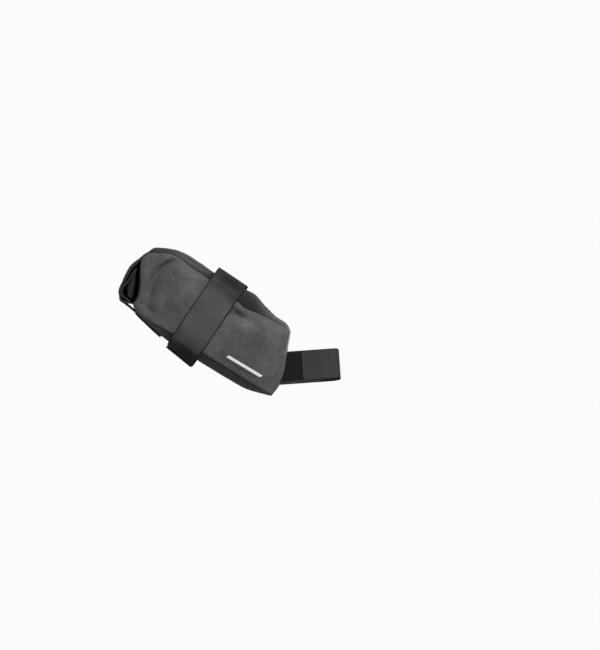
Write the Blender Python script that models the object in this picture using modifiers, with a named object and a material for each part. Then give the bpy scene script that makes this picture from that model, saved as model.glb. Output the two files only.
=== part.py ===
"""Small saddle bag with a rolled rear closure, a wide strap over its top and a front strap.

Metres, +X forward, +Y to the bag's left, +Z up. The origin lies midway between the two
channels under the wide strap, at the middle of its width. The bag's own axes slope down
to the front: local x runs along the bag to its front end, local z is square to its top.
"""

import math
from collections import namedtuple

import bpy
from mathutils import Vector

# Bag body
BAG_TILT = math.radians(33.9)       # slope of the bag's long axis, front end low
BAG_LENGTH = 0.150
BAG_HEIGHT = 0.066
BAG_WIDTH = 0.089
PANEL_WALL = 0.0016
SEAM_GAP = 0.0003
SIDE_BELLY = 0.0012                 # how far each side swells
SIDE_KNEE = 0.0034                  # how far the end edges of a side bow forward, low down
FRONT_BULGE = 0.0012

# What the bag's two straps close round
RAIL_DIAMETER = 0.007
RAIL_SPACING = 0.056
CROWN_RISE = 0.003                  # how far the top swells up between the channels
POST_LENGTH = 0.031                 # fore and aft
POST_WIDTH = 0.027
POST_AHEAD = 0.0199                 # middle of the front loop, ahead of the bag's front end
POST_DROP = 0.0149                  # and below the channels' level, in the bag's axes
POST_LEAN = math.radians(4.0)       # the front strap leans back at its top

# Rolled closure
ROLL_WALL = 0.0015
ROLL_INSET_TOP = 0.0035             # from the bag's widest side to the flap's side edge
ROLL_INSET_LOW = 0.0055
ROLL_BULGE = 0.0022                 # the flap's middle stands behind its side edges
GUSSET_WALL = 0.0012
GUSSET_DEPTH = 0.009                # how far the pleat's ridge stands out of its valleys
GUSSET_INSET = 0.0195               # from the bag's widest side to the valleys
TAB_WIDTH = 0.022
TAB_WALL = 0.0014
TAB_CLEAR = 0.0006                  # daylight between the tab and the bag's keel

# Wide strap round the bag
STRAP_WIDTH = 0.0268
STRAP_WALL = 0.0015
STRAP_CLEAR = 0.0006                # daylight between the strap and the bag's sides
STRAP_SAG = 0.0022                  # daylight between the strap and the bag's keel
STRAP_TILT = 0.088                  # the strap's bottom drops this much a metre, forwards
STRAP_LAP = 0.020                   # half length of the lapped ends under the bag

# Front strap
BAND_HEIGHT = 0.024
BAND_WALL = 0.0015
BAND_CORNER = 0.0024
PILE_WALL = 0.0018
BAND_LAP_REAR = 0.0128              # free end of the band, behind the loop's middle
PILE_REACH = 0.0035                 # end of the pile tab, ahead of the loop's middle
FAR_DIP = 0.0038                    # the band's far side sits lower than its near side

# Roundness of the top and the keel across the bag
CROWN_POWER = 1.6
KEEL_POWER = 2.2

RAIL_RADIUS = RAIL_DIAMETER / 2
TOP_LEVEL = CROWN_RISE - RAIL_RADIUS

# Sections from rear to front. The x columns are shares of BAG_LENGTH ahead of the strap's
# middle, the drop columns are shares of BAG_HEIGHT below the top level, and the half
# columns are shares of half the BAG_WIDTH.
Section = namedtuple("Section", "crown_x crown_drop seam_x seam_drop base_x base_drop "
                                "keel_drop half_top half_base")
SECTIONS = [
    Section(-0.443, 0.227, -0.449, 0.341, -0.354, 0.856, 0.871, 0.921, 0.854),
    Section(-0.413, 0.114, -0.417, 0.197, -0.322, 0.898, 0.923, 0.966, 0.899),
    Section(-0.320, 0.017, -0.320, 0.095, -0.260, 0.911, 0.952, 0.989, 0.933),
    Section(-0.200, -0.005, -0.200, 0.097, -0.167, 0.895, 0.986, 1.000, 0.944),
    Section(-0.080, 0.000, -0.080, 0.100, -0.067, 0.882, 1.005, 0.989, 0.933),
    Section(0.053, -0.029, 0.053, 0.117, 0.067, 0.874, 0.997, 0.944, 0.899),
    Section(0.147, -0.059, 0.147, 0.144, 0.173, 0.868, 0.988, 0.899, 0.854),
    Section(0.227, -0.011, 0.227, 0.105, 0.280, 0.859, 0.977, 0.831, 0.798),
    Section(0.307, 0.018, 0.307, 0.080, 0.380, 0.853, 0.958, 0.764, 0.730),
    Section(0.367, 0.021, 0.370, 0.067, 0.450, 0.847, 0.911, 0.708, 0.674),
    Section(0.404, 0.068, 0.404, 0.098, 0.490, 0.833, 0.862, 0.674, 0.640),
]

# Middle line of the rolled flap, from the top panel's rear edge down the back, under, and
# back up inside, in the same shares.
RollPoint = namedtuple("RollPoint", "x drop")
ROLL = [
    RollPoint(-0.4507, 0.238),
    RollPoint(-0.4653, 0.338),
    RollPoint(-0.4747, 0.415),
    RollPoint(-0.4790, 0.503),
    RollPoint(-0.4797, 0.594),
    RollPoint(-0.4767, 0.677),
    RollPoint(-0.4713, 0.759),
    RollPoint(-0.4593, 0.824),
    RollPoint(-0.4440, 0.865),
    RollPoint(-0.4240, 0.885),
    RollPoint(-0.4000, 0.886),
    RollPoint(-0.3845, 0.874),
    RollPoint(-0.3790, 0.857),
    RollPoint(-0.3845, 0.841),
    RollPoint(-0.3980, 0.838),
    RollPoint(-0.4170, 0.842),
    RollPoint(-0.4370, 0.826),
    RollPoint(-0.4530, 0.784),
    RollPoint(-0.4610, 0.714),
    RollPoint(-0.4640, 0.636),
]
ROLL_MERGE = 0.42                   # share of the roll's length where its edge lines up
APEX_SHARE = 0.075                  # where the flap's side edges start, along the roll
REAR_WALL_TOP = 0.88                # share of the side's height that the rear wall reaches


def lerp(a, b, t):
    return a + (b - a) * t


def ease(t):
    t = min(max(t, 0.0), 1.0)
    return t * t * (3.0 - 2.0 * t)


def catmull(rows, u):
    """The row at share u of a table, on a smooth curve through its rows."""
    place = min(max(u, 0.0), 1.0) * (len(rows) - 1)
    i = min(int(place), len(rows) - 2)
    t = place - i
    before = rows[max(i - 1, 0)]
    after = rows[min(i + 2, len(rows) - 1)]
    values = []
    for p, a, b, q in zip(before, rows[i], rows[i + 1], after):
        values.append(0.5 * (2 * a + (b - p) * t + (2 * p - 5 * a + 4 * b - q) * t * t
                             + (3 * a - p - 3 * b + q) * t ** 3))
    return values


def along(points, count):
    """Points evenly spaced on a smooth curve through the given ones."""
    fine = [Vector(catmull(points, k / 400)) for k in range(401)]
    reach = [0.0]
    for a, b in zip(fine, fine[1:]):
        reach.append(reach[-1] + (b - a).length)
    result = []
    k = 0
    for n in range(count):
        target = reach[-1] * n / (count - 1)
        while k < len(reach) - 2 and reach[k + 1] < target:
            k += 1
        step = max(reach[k + 1] - reach[k], 1e-12)
        result.append(fine[k].lerp(fine[k + 1], (target - reach[k]) / step))
    return result


def height(drop):
    return TOP_LEVEL - drop * BAG_HEIGHT


def section(u):
    """The bag's section at share u of its table, as real lengths in the bag's axes."""
    s = Section(*catmull(SECTIONS, u))
    half = BAG_WIDTH / 2
    return Section(s.crown_x * BAG_LENGTH, height(s.crown_drop),
                   s.seam_x * BAG_LENGTH, height(s.seam_drop),
                   s.base_x * BAG_LENGTH, height(s.base_drop),
                   height(s.keel_drop), s.half_top * half, s.half_base * half)


def top_point(u, t):
    s = section(u)
    w = abs(t) ** CROWN_POWER
    return Vector((lerp(s.crown_x, s.seam_x, w), t * s.half_top,
                   lerp(s.crown_drop, s.seam_drop, w)))


def base_point(u, t):
    s = section(u)
    w = abs(t) ** KEEL_POWER
    return Vector((s.base_x, t * s.half_base, lerp(s.keel_drop, s.base_drop, w)))


def end_line(s, h):
    """x of a section's edge at share h of its height, with the bowed knee."""
    return lerp(s.base_x, s.seam_x, h) + SIDE_KNEE * 6.75 * h * (1 - h) ** 2


def half_width(s, h):
    return lerp(s.half_base, s.half_top, h) + SIDE_BELLY * 4 * h * (1 - h)


def side_point(u, h, side):
    s = section(u)
    return Vector((end_line(s, h), side * half_width(s, h), lerp(s.base_drop, s.seam_drop, h)))


def end_point(u, t, h, top_z, bulge, step):
    """A point of the panel that closes one end of the bag, step clear of the other panels."""
    s = section(u)
    low = base_point(u, t).z
    x = end_line(s, h) + step + bulge * (1 - t * t) * math.sin(math.pi * h)
    return Vector((x, t * half_width(s, h), lerp(low, top_z, h)))


def clear_scene():
    for old in list(bpy.data.objects):
        bpy.data.objects.remove(old, do_unlink=True)


def make_material(name, grey, roughness):
    mat = bpy.data.materials.new(name)
    mat.use_nodes = True
    shader = mat.node_tree.nodes["Principled BSDF"]
    shader.inputs["Base Color"].default_value = (grey, grey, grey, 1.0)
    shader.inputs["Roughness"].default_value = roughness
    shader.inputs["Metallic"].default_value = 0.0
    return mat


def sheet(name, rows, wall, offset, mat, parent, collection):
    """A cloth piece: a grid of points given its thickness by Solidify.

    offset is -1 where the wall lies behind the grid, 0 where it is centred on it and 1
    where it lies in front of it.
    """
    width = len(rows[0])
    points = [tuple(p) for row in rows for p in row]
    faces = []
    for i in range(len(rows) - 1):
        for j in range(width - 1):
            k = i * width + j
            faces.append((k, k + width, k + width + 1, k + 1))
    mesh = bpy.data.meshes.new(name)
    mesh.from_pydata(points, [], faces)
    mesh.materials.append(mat)
    mesh.shade_smooth()
    obj = bpy.data.objects.new(name, mesh)
    obj.parent = parent
    collection.objects.link(obj)
    solid = obj.modifiers.new("wall", "SOLIDIFY")
    solid.thickness = wall
    solid.offset = offset
    solid.use_even_offset = True
    return obj


def make_axes(name, place, angle, collection):
    axes = bpy.data.objects.new(name, None)
    axes.location = place
    axes.rotation_euler = (0.0, angle, 0.0)
    axes.empty_display_size = 0.02
    collection.objects.link(axes)
    return axes


def shares(count, low=0.0, high=1.0):
    return [lerp(low, high, k / (count - 1)) for k in range(count)]


def make_top(mat, axes, collection):
    edge = 1 - (PANEL_WALL + SEAM_GAP) / (section(1).half_top)
    rows = [[top_point(u, t) for t in shares(13, -edge, edge)] for u in shares(25)]
    return sheet("top_panel", rows, PANEL_WALL, -1, mat, axes, collection)


def make_base(mat, axes, collection):
    edge = 1 - (PANEL_WALL + SEAM_GAP) / (section(1).half_base)
    rows = [[base_point(u, t) for t in shares(13, edge, -edge)] for u in shares(25)]
    return sheet("base_panel", rows, PANEL_WALL, -1, mat, axes, collection)


def make_sides(mat, axes, collection):
    right = [[side_point(u, h, -1) for h in shares(9)] for u in shares(25)]
    left = [[side_point(u, h, 1) for h in shares(9, 1.0, 0.0)] for u in shares(25)]
    sheet("side_panel_right", right, PANEL_WALL, -1, mat, axes, collection)
    sheet("side_panel_left", left, PANEL_WALL, -1, mat, axes, collection)


def make_front(mat, axes, collection):
    rows = []
    for t in shares(11, -1.0, 1.0):
        top_z = top_point(1.0, t).z
        rows.append([end_point(1.0, t, h, top_z, FRONT_BULGE, SEAM_GAP) for h in shares(9)])
    return sheet("front_panel", rows, PANEL_WALL, 1, mat, axes, collection)


def make_rear_wall(mat, axes, collection):
    rows = []
    for t in shares(11, 1.0, -1.0):
        top_z = section(0.0).seam_drop
        rows.append([end_point(0.0, t, h, top_z, 0.0, -SEAM_GAP)
                     for h in shares(9, 0.0, REAR_WALL_TOP)])
    return sheet("rear_wall", rows, PANEL_WALL, 1, mat, axes, collection)


def roll_bulge(z):
    """How far the roll's side edges stand ahead of its middle, at height z."""
    low = height(0.80)
    full = height(0.62)
    top = height(0.30)
    start = height(0.44)
    return ROLL_BULGE * ease((z - low) / (full - low)) * ease((top - z) / (top - start))


def roll_points():
    return [(p.x * BAG_LENGTH, height(p.drop)) for p in ROLL]


def make_roll(mat, axes, collection):
    count = 56
    line = along(roll_points(), count)
    rows = []
    for k in range(count):
        s = k / (count - 1)
        row = []
        for t in shares(9, -1.0, 1.0):
            start = APEX_SHARE * abs(t) ** CROWN_POWER
            shifted = s
            if s < ROLL_MERGE:
                shifted = start + (ROLL_MERGE - start) * s / ROLL_MERGE
            place = shifted * (count - 1)
            i = min(int(place), count - 2)
            point = line[i].lerp(line[i + 1], place - i)
            inset = lerp(ROLL_INSET_TOP, ROLL_INSET_LOW, ease(s / ROLL_MERGE))
            half = BAG_WIDTH / 2 - inset
            row.append(Vector((point.x + roll_bulge(point.y) * t * t, t * half, point.y)))
        rows.append(row)
    return sheet("roll_top", rows, ROLL_WALL, 0, mat, axes, collection)


# Rows of the pleat from top to bottom: its drop and its rear valley's x, in the same shares.
# Its front valley follows the rear wall.
PleatRow = namedtuple("PleatRow", "drop rear_x")
PLEAT = [
    PleatRow(0.480, -0.4480),
    PleatRow(0.560, -0.4440),
    PleatRow(0.640, -0.4390),
    PleatRow(0.720, -0.4400),
    PleatRow(0.790, -0.4240),
    PleatRow(0.808, -0.4160),
]


def rear_wall_x(z):
    """x of the rear wall's outer face at height z."""
    s = section(0.0)
    h = (z - s.base_drop) / (s.seam_drop - s.base_drop)
    return end_line(s, h) - SEAM_GAP - PANEL_WALL


def make_gussets(mat, axes, collection):
    for side, name in ((-1, "gusset_right"), (1, "gusset_left")):
        rows = []
        for u in shares(9):
            row = PleatRow(*catmull(PLEAT, u))
            z = height(row.drop)
            rear = row.rear_x * BAG_LENGTH
            front = rear_wall_x(z) - 2 * SEAM_GAP - GUSSET_WALL
            points = []
            for v in shares(9):
                y = BAG_WIDTH / 2 - GUSSET_INSET + GUSSET_DEPTH * math.sin(math.pi * v)
                points.append(Vector((lerp(rear, front, v), side * y, z)))
            rows.append(points[::side])
        sheet(name, rows, GUSSET_WALL, 0, mat, axes, collection)


def make_roll_tab(mat, axes, collection):
    """Webbing from under the roll forward along the bag's keel."""
    under = TAB_WALL / 2
    roll = roll_points()
    route = []
    for index in (8, 9, 10):
        before, here, after = (Vector(roll[index + k]) for k in (-1, 0, 1))
        run = (after - before).normalized()
        outward = Vector((run.y, -run.x))
        route.append(tuple(here + outward * (ROLL_WALL / 2 + TAB_CLEAR + under)))
    for u in (0.075, 0.11, 0.15, 0.20, 0.25, 0.29, 0.32):
        point = base_point(u, 0.0)
        route.append((point.x, point.z - TAB_CLEAR - under))
    line = along(route, 20)
    rows = [[Vector((p.x, t * TAB_WIDTH / 2, p.y)) for t in (-1.0, 0.0, 1.0)] for p in line]
    return sheet("roll_tab", rows, TAB_WALL, 0, mat, axes, collection)


def share_at(x, h):
    """Share u of the section table where the side's edge line passes x at height share h."""
    low, high = 0.0, 1.0
    for _ in range(40):
        mid = (low + high) / 2
        if end_line(section(mid), h) < x:
            low = mid
        else:
            high = mid
    return (low + high) / 2


def strap_route(x):
    """Middle line of the wide strap at x along the bag, from its inner end to its outer end."""
    over = RAIL_RADIUS + SEAM_GAP + STRAP_WALL / 2
    rail = RAIL_SPACING / 2
    keel = section(share_at(0.0, 0.0)).keel_drop
    bottom = keel - STRAP_SAG - STRAP_WALL / 2 - STRAP_TILT * x
    step = STRAP_WALL + SEAM_GAP
    wall = []
    for h in (0.02, 0.2, 0.4, 0.6, 0.8, 1.0):
        s = section(share_at(x, h))
        wall.append((half_width(s, h) + STRAP_CLEAR + STRAP_WALL / 2,
                     lerp(s.base_drop, s.seam_drop, h)))
    low = wall[0][0]
    high, shoulder = wall[-1]
    corner = section(share_at(x, 0.0)).base_drop
    bilge = [(0.50 * low, bottom + 0.0002), (0.74 * low, lerp(bottom, corner, 0.13)),
             (0.91 * low, lerp(bottom, corner, 0.42)), (0.99 * low, lerp(bottom, corner, 0.78))]
    crest = [(lerp(high, rail + over, 0.02), lerp(shoulder, over, 0.17)),
             (lerp(high, rail + over, 0.50), lerp(shoulder, over, 0.50)),
             (rail + 0.85 * over, 0.62 * over), (rail + 0.30 * over, over), (0.5 * rail, over)]
    side = bilge + wall + crest
    near = [(-y, z) for y, z in side]
    far = [(y, z) for y, z in reversed(side[1:])]
    inner = [(STRAP_LAP, bottom), (0.0, bottom)]
    outer = [(0.60 * low, bottom - 0.0005), (0.50 * low, bottom - step),
             (0.0, bottom - step), (-STRAP_LAP, bottom - step)]
    return inner + near + [(0.0, over)] + far + outer


def make_rail_strap(mat, axes, collection):
    columns = []
    for x in shares(4, -STRAP_WIDTH / 2, STRAP_WIDTH / 2):
        columns.append([Vector((x, p.x, p.y)) for p in along(strap_route(x), 84)])
    rows = [list(row) for row in zip(*columns)]
    return sheet("rail_strap", rows, STRAP_WALL, 0, mat, axes, collection)


def front_face(bag_axes, post_axes, y):
    """Heights and x of the front panel's outer face at width y, in the front strap's axes."""
    into_post = post_axes.matrix_world.inverted() @ bag_axes.matrix_world
    face = []
    for h in shares(60):
        s = section(1.0)
        t = y / half_width(s, h)
        top_z = top_point(1.0, t).z
        point = end_point(1.0, t, h, top_z, FRONT_BULGE, SEAM_GAP)
        point.x += PANEL_WALL * 1.12
        face.append(into_post @ point)
    return face


def reach_to(face, z):
    for a, b in zip(face, face[1:]):
        if a.z <= z <= b.z:
            return lerp(a.x, b.x, (z - a.z) / (b.z - a.z))
    return face[0].x if z < face[0].z else face[-1].x


def band_heights():
    half = BAND_HEIGHT / 2
    corner = [half - BAND_CORNER * (1 - math.sin(math.radians(a))) for a in (90, 50, 25, 0)]
    return [-z for z in corner] + [0.0] + corner[::-1]


def corner_step(z):
    """How far a rounded free end draws back at height z."""
    past = max(abs(z) - (BAND_HEIGHT / 2 - BAND_CORNER), 0.0)
    return BAND_CORNER - math.sqrt(max(BAND_CORNER ** 2 - past ** 2, 0.0))


def dip(y):
    near = POST_WIDTH / 2 + PILE_WALL
    return -FAR_DIP * ease((y + near) / (2 * near))


def make_post_strap(pile_mat, band_mat, bag_axes, post_axes, collection):
    pile_y = -(POST_WIDTH / 2 + SEAM_GAP + PILE_WALL / 2)
    band_near = pile_y - PILE_WALL / 2 - SEAM_GAP - BAND_WALL / 2
    band_far = POST_WIDTH / 2 + SEAM_GAP + BAND_WALL / 2
    nose = POST_LENGTH / 2 - POST_WIDTH / 2
    face = front_face(bag_axes, post_axes, pile_y)
    rows = []
    for u in shares(9):
        row = []
        for z in band_heights():
            start = reach_to(face, z) + 2 * SEAM_GAP
            row.append(Vector((lerp(start, PILE_REACH, u), pile_y, z)))
        rows.append(row)
    sheet("post_strap_tab", rows, PILE_WALL, 0, pile_mat, post_axes, collection)

    turn = [(nose + band_far * math.sin(a), -band_far * math.cos(a))
            for a in (math.radians(d) for d in range(24, 181, 12))]
    plan = [(-BAND_LAP_REAR, band_near), (-0.5 * BAND_LAP_REAR, band_near), (0.0, band_near),
            (PILE_REACH + 0.0012, band_near + 0.0001)] + turn
    plan += [(0.0, band_far), (-0.010, band_far)]
    face = front_face(bag_axes, post_axes, band_far)
    columns = []
    for z in band_heights():
        end = reach_to(face, z + dip(band_far)) + 2 * SEAM_GAP
        tail = [(-0.018, band_far), (end, band_far)]
        first = (plan[0][0] + corner_step(z), plan[0][1])
        line = along([first] + plan[1:] + tail, 44)
        columns.append([Vector((p.x, p.y, z + dip(p.y))) for p in line])
    rows = [list(row) for row in zip(*columns)]
    sheet("post_strap_band", rows, BAND_WALL, 0, band_mat, post_axes, collection)


def main():
    clear_scene()
    collection = bpy.data.collections.new("saddle_bag")
    bpy.context.scene.collection.children.link(collection)
    bag_axes = make_axes("bag_axes", (0.0, 0.0, 0.0), BAG_TILT, collection)
    centre = Vector((BAG_LENGTH / 2 + POST_AHEAD, 0.0, -POST_DROP))
    centre.rotate(bag_axes.rotation_euler)
    post_axes = make_axes("post_axes", centre, -POST_LEAN, collection)
    bpy.context.view_layer.update()

    side_cloth = make_material("side_cloth", 0.092, 0.75)
    dark_cloth = make_material("dark_cloth", 0.036, 0.70)
    smooth_strap = make_material("smooth_strap", 0.058, 0.55)
    webbing = make_material("webbing", 0.014, 0.80)
    loop_pile = make_material("loop_pile", 0.012, 0.95)

    make_top(dark_cloth, bag_axes, collection)
    make_base(dark_cloth, bag_axes, collection)
    make_sides(side_cloth, bag_axes, collection)
    make_front(side_cloth, bag_axes, collection)
    make_rear_wall(dark_cloth, bag_axes, collection)
    make_roll(dark_cloth, bag_axes, collection)
    make_gussets(dark_cloth, bag_axes, collection)
    make_roll_tab(webbing, bag_axes, collection)
    make_rail_strap(smooth_strap, bag_axes, collection)
    make_post_strap(loop_pile, smooth_strap, bag_axes, post_axes, collection)


main()
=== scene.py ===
"""Looks of the small saddle bag: fine cloth, straps, stitching and materials on the CAD part.

Metres, in the part's frame. Sizes and tables follow the part's own; the end rows of SECTIONS,
the ROLL and the PLEAT are drawn a little closer to the photograph. Bag axes: local x along
the bag to its front end, local y to its left, local z square to its top.
"""

import math
import random
from collections import namedtuple

import bpy
from mathutils import Euler, Matrix, Vector, noise


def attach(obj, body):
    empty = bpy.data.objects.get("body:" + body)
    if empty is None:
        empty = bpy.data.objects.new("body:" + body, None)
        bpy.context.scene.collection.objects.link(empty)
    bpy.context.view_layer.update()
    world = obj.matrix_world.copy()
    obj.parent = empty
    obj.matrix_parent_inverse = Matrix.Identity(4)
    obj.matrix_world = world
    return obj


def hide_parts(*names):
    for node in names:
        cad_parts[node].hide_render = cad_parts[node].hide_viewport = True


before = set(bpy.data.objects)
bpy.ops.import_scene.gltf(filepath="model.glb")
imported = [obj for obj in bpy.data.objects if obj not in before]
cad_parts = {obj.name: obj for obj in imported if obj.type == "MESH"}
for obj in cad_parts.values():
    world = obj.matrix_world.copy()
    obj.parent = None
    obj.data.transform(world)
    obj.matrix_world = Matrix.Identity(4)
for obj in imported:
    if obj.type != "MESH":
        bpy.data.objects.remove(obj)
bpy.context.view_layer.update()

# Bag body
BAG_TILT = math.radians(33.9)
BAG_LENGTH = 0.150
BAG_HEIGHT = 0.066
BAG_WIDTH = 0.089
PANEL_WALL = 0.0015
SEAM_GAP = 0.0003
SEAM_LAP = 0.0004                   # sewn panels run into each other this far
SIDE_BELLY = 0.0012
SIDE_KNEE = 0.0034
KNEE_SCALE = 6.75                   # brings the knee's curve to a peak of one
FRONT_BULGE = 0.0012
FRONT_STEP = 0.0006                 # the front panel's face, ahead of the sides' edges
FRONT_REACH = 0.985                 # share of the half width that the front panel covers
REAR_WALL_TOP = 0.88
REAR_WALL_REACH = 0.94
EDGE_ROUND = 0.0024                 # how far in from a seam the cloth starts to turn down
EDGE_DROP = 0.0006                  # and how far it has turned down at the seam
CROWN_POWER = 1.6
KEEL_POWER = 2.2
HANDS = ((-1, "right"), (1, "left"))

# The channels under the wide strap
RAIL_RADIUS = 0.0035
RAIL_SPACING = 0.056
CROWN_RISE = 0.003
TOP_LEVEL = CROWN_RISE - RAIL_RADIUS

# Rolled closure
ROLL_WALL = 0.0014
ROLL_INSET_TOP = 0.0035
ROLL_INSET_LOW = 0.0055
ROLL_BULGE = 0.0030
BULGE_DROPS = (0.80, 0.62, 0.44, 0.30)  # where the bulge starts, is full, still is and ends
ROLL_MERGE = 0.38
ROLL_SKIN = 0.00075                 # from the flap's middle line to its outside, with some play
APEX_SHARE = 0.075                  # share of the flap that lies above the sides' upper corners
FLAP_STEP = 0.0005                  # from the top panel's end to the flap's middle line
FLAP_CLOSE = 0.09                   # share of the flap over which it leaves the top panel
GUSSET_WALL = 0.0011
GUSSET_DEPTH = 0.009
GUSSET_INSET = 0.0195
BACK_DROPS = (0.38, 0.83)           # the folded-in cloth behind each pleat
BACK_DEPTH = 0.0015
BACK_CLEAR = 0.001
TAB_WIDTH = 0.022
TAB_WALL = 0.0014
TAB_CLEAR = 0.0001
TAB_ROWS = (8, 9, 10)               # rows of ROLL that the tab lies on
TAB_STOPS = (0.075, 0.11, 0.15, 0.20, 0.25, 0.29, 0.32)  # and sections of the bag
TAB_STITCHES = (0.05, 0.12, 0.90, 0.96)

# Wide strap
STRAP_WIDTH = 0.0268
STRAP_WALL = 0.0015
STRAP_CLEAR = 0.0006
STRAP_SAG = 0.0022
STRAP_TILT = 0.088
STRAP_LAP = 0.020
STRAP_NARROW = 0.10                 # share by which its front edge draws in under the bag
NARROW_START = 0.004                # above the side's lower edge
NARROW_FADE = 0.010
FLAT_SHARE = 0.50                   # share of the half width up to which its bottom is flat
FLAT_LIFT = 0.0002
BILGE = ((0.74, 0.13), (0.91, 0.42), (0.99, 0.78))      # shares of the way out and up
WALL_SHARES = (0.02, 0.2, 0.4, 0.6, 0.8, 1.0)
SHOULDER = ((0.02, 0.17), (0.50, 0.50))                 # shares of the way in and up
RAIL_TURN = ((0.85, 0.62), (0.30, 1.0))
LAP_SHARE = 0.60
LAP_DIP = 0.0005
LAP_STITCHES = (-0.88, -0.72)       # shares of the lap

# Front strap
POST_AHEAD = 0.0199
POST_DROP = 0.0149
POST_LENGTH = 0.031
POST_WIDTH = 0.027
POST_LEAN = math.radians(4.0)
BAND_HEIGHT = 0.024
BAND_WALL = 0.0015
BAND_CORNER = 0.0024
PILE_WALL = 0.0018
BAND_LAP_REAR = 0.0128
PILE_REACH = 0.0035
FAR_DIP = 0.0026                    # how much lower the band runs on the far side
NEAR_LIFTS = ((0.25, 0.0002), (0.48, 0.0010))           # the band's near side, then its turn
NEAR_TURN = ((0.68, 0.90), (0.86, 0.72), (0.97, 0.42))
ARC_ANGLES = range(92, 181, 8)
FAR_RUN = (0.0, -0.010, -0.018)
BAND_STITCHES = (0.0016, 0.0032)
PILE_STITCH = 0.0012

# Thread and pile
THREAD_RADIUS = 0.00016
THREAD_SIDES = 6
STITCH_RINGS = ((0.0, 0.35, -0.5), (0.15, 0.9, 0.2), (0.5, 1.0, 0.55), (0.85, 0.9, 0.2),
                (1.0, 0.35, -0.5))
STITCH_LENGTH = 0.0021
STITCH_PITCH = 0.0029
STITCH_REACH = 0.86                 # share of a strap's half width that a row of stitches covers
LOOP_COUNT = 3400
LOOP_HEIGHT = 0.0007
LOOP_LOWEST = 0.6
LOOP_RADIUS = 0.00009
LOOP_SPREAD = (0.0002, 0.0004)
LOOP_LEAN = 0.00025
LOOP_POINTS = 6
LOOP_SIDES = 3
PILE_MARGIN = 0.0008                # no loops this near the tab's upper and lower edges
PILE_START = 0.0006                 # nor this near the bag
PILE_UNDER = 0.0012                 # but some this far under the band's end

# A plain light bar low on the front of each side, in the bag's axes
BAR_START = 0.0310
BAR_END = 0.0620
BAR_LOW = -0.0505
BAR_TALL = 0.0024
BAR_RISE = 0.0015
BAR_SLANT = 0.0013
BAR_WALL = 0.00012
BAR_LIFT = 0.00003
BAR_PASSES = 3

# Points along and across each cloth, and along and across each strap
SIDE_GRID = (190, 84)
LONG_GRID = (170, 64)
FRONT_GRID = (50, 50)
REAR_GRID = (40, 40)
ROLL_GRID = (230, 56)
GUSSET_GRID = (44, 36)
BACK_GRID = (30, 8)
BAR_GRID = (60, 6)
TAB_GRID = (120, 9)
STRAP_GRID = (520, 17)
PILE_GRID = (60, 9)
BAND_GRID = (300, 25)
EDGE_TURN = (30, 60, 90, 120, 150)  # degrees round the edge of a strap
RIM_SHARE = 0.35                    # the softened rim, as a share of a cloth's wall
RIM_ANGLE = math.radians(60)
CURVE_STEPS = 800
HALVINGS = 30

# Where dents and folds fade out
SEAM_FADE = 0.008
SWELL_START = -0.002                # from the wide strap's edge
SWELL_FADE = 0.012
LEFT_SHIFT = 0.012                  # the left side's dents lie this far further back
END_FADE = 0.06
BASE_FLAT = 0.33                    # share of the base that lies flat for the roll tab
BASE_FADE = 0.05
ROLL_FADE = 0.06
ROLL_FOLD_END = 0.42

# Small uneven folds: their place in the noise, how far apart they are and how deep
Folds = namedtuple("Folds", "seed size depth")
SIDE_FOLDS = (Folds(3.1, 0.016, 0.0004), Folds(7.7, 0.006, 0.00016))
TOP_FOLDS = (Folds(11.0, 0.018, 0.0006), Folds(13.0, 0.007, 0.0002))
BASE_FOLDS = (Folds(21.0, 0.018, 0.0007), Folds(23.0, 0.007, 0.0002))
FRONT_FOLDS = (Folds(31.0, 0.010, 0.0004),)
ROLL_FOLDS = (Folds(41.0, 0.016, 0.0008),)

# Greys, weave pitch, roughness and sheen
Cloth = namedtuple("Cloth", "dark light pitch roughness sheen")
SIDE_CLOTH = Cloth(0.015, 0.052, 0.0009, 0.88, 0.03)
# dark cloth of the top, rear wall and folded-in cloth; its greys are lowered further as painted
# shade, the shadow of the saddle over the top
DARK_CLOTH = Cloth(0.003, 0.0078, 0.0007, 0.90, 0.0)
BASE_CLOTH = Cloth(0.008, 0.018, 0.0007, 0.90, 0.0)
FLAP_CLOTH = Cloth(0.006, 0.016, 0.0007, 0.88, 0.0)
Plain = namedtuple("Plain", "grey roughness")
PILE_FIBRE = Plain(0.0075, 0.95)
THREAD = Plain(0.014, 0.6)
PRINT = Plain(0.34, 0.6)
FLOOR = Plain(0.50, 0.9)
STRAP_GREYS = (0.008, 0.044)
BAND_GREYS = (0.011, 0.023)
TAPE_GREYS = (0.004, 0.009)
TAPE_PITCH = 0.0011
COOL = 1.01                         # how much more blue than red each grey has
SPECULAR = 0.25
CLOTH_SPECULAR = 0.06
RAMP_ENDS = (0.30, 0.70)

# Noise scales, per metre, and the share that each noise has in a cloth's grey
ALONG_THREAD = 260
ACROSS_THREAD = 1700
PATCH_SCALE = 120.0
WORN_SCALE = 42.0
THREAD_SHARE = 0.42
PATCH_SHARE = 0.16
WORN_SHARE = 0.45
WEAVE_BUMP = 0.00003

# Coated straps: grain, and painted shade along their edges and at their bends
COAT_ROUGHNESS = 0.60
COAT_GRAIN = 2600.0
COAT_BUMP = 0.000012
COAT_PATCH = 50.0
COAT_PATCH_SHARE = 0.25
COAT_LEVEL = 0.42
# width of the painted shade along each edge of a coated strap
EDGE_SHADE = 0.0008
# painted shade at a strap's bends: how deep, how far apart as a share of its length, and how
# sharply it sets in
BEND_SHADE = 0.22
BEND_PITCH = 0.22
BEND_SWING = 0.8
TAPE_ROUGHNESS = 0.8
TAPE_GRAIN = 900.0
TAPE_BUMP = 0.0001

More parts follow.
